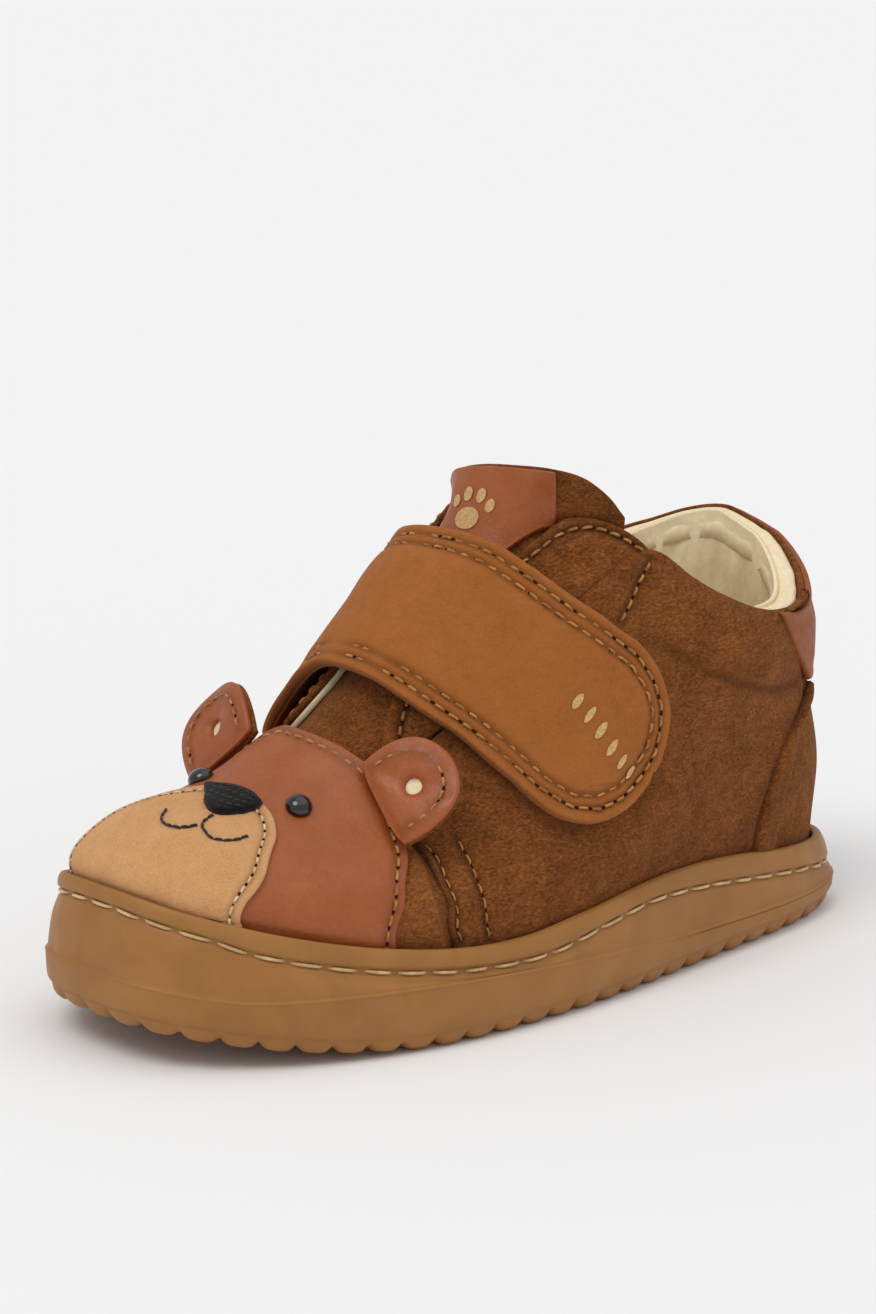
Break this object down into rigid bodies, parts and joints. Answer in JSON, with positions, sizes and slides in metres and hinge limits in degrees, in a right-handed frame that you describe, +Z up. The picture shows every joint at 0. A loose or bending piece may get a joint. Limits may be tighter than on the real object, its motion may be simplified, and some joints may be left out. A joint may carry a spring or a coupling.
{
  "type": "toddler shoe with animal face",
  "caption": "Low toddler first-walker shoe with a stitched cup sole, padded collar, tongue, hook-and-loop strap and a leather animal face with ears on the toe.",
  "frame": {"origin": "on the ground under the middle of the shoe", "axes": "+Z up, +Y towards the heel, -Y towards the toe, +X towards the outer side of this left shoe"},
  "size_m": [0.0658, 0.1484, 0.0822],
  "materials": {
    "gum": "matte gum rubber",
    "thread": "waxed thread",
    "board": "cellulose insole board",
    "lining": "smooth pigskin-like lining",
    "suede": "suede",
    "vamp": "suede",
    "leather": "smooth waxed leather",
    "heel": "smooth leather",
    "muzzle": "nubuck",
    "black": "black felt and thread",
    "bead": "polished bead",
    "strap": "nubuck",
    "foam": "soft open-cell foam",
    "stiffener": "thermoformed stiffener",
    "tape": "hook-and-loop tape"
  },
  "bodies": {
    "shoe": {"outsole": "gum", "cup_sole": "gum", "sidewall_thread": "thread", "insole_board": "board", "footbed": "lining", "vamp": "vamp", "toe_puff": "stiffener", "vamp_lining": "lining", "face_cap": "leather", "muzzle": "muzzle", "nose": "black", "mouth_thread_lateral": "black", "mouth_thread_medial": "black", "eye_lateral": "bead", "eye_medial": "bead", "quarter_lateral": "suede", "heel_welt_lateral": "suede", "quarter_medial": "suede", "heel_welt_medial": "suede", "heel_panel": "suede", "collar_band": "heel", "heel_counter": "stiffener", "collar_foam": "foam", "quarter_lining": "lining", "facing_lateral": "suede", "facing_lining_lateral": "lining", "facing_medial": "suede", "facing_lining_medial": "lining", "strap_anchor": "strap", "loop_patch": "tape"},
    "strap": {"strap_top": "strap", "strap_backing": "strap"},
    "strap_tip": {"strap_tip_top": "strap", "strap_tip_backing": "strap", "hook_tape": "tape"},
    "tongue": {"tongue_shell": "suede", "tongue_foam": "foam", "tongue_lining": "lining", "tongue_patch": "leather"},
    "ear_lateral": {"ear_lateral_front": "leather", "ear_lateral_back": "suede"},
    "ear_medial": {"ear_medial_front": "leather", "ear_medial_back": "suede"}
  },
  "joints": [
    {"name": "strap_open", "type": "hinge", "parent": "shoe", "child": "strap", "pos_m": [-0.02486, -0.00893, 0.0456], "axis": [0.0054, -0.8265, -0.5629], "range_deg": [0, 110]},
    {"name": "strap_tip_peel", "type": "hinge", "parent": "strap", "child": "strap_tip", "pos_m": [0.02013, -0.00454, 0.05364], "axis": [-0.0003, -0.7637, -0.6456], "range_deg": [0, 35]},
    {"name": "tongue_tilt", "type": "hinge", "parent": "shoe", "child": "tongue", "pos_m": [-0.00126, -0.035, 0.036], "axis": [1, 0, 0], "range_deg": [-1.5, 0]},
    {"name": "ear_lateral_bend", "type": "hinge", "parent": "shoe", "child": "ear_lateral", "pos_m": [0.01776, -0.03099, 0.03604], "axis": [0.7225, -0.0621, -0.6885], "range_deg": [-10, 40]},
    {"name": "ear_medial_bend", "type": "hinge", "parent": "shoe", "child": "ear_medial", "pos_m": [-0.01631, -0.03564, 0.0375], "axis": [0.7334, 0.1857, 0.654], "range_deg": [-10, 40]}
  ]
}
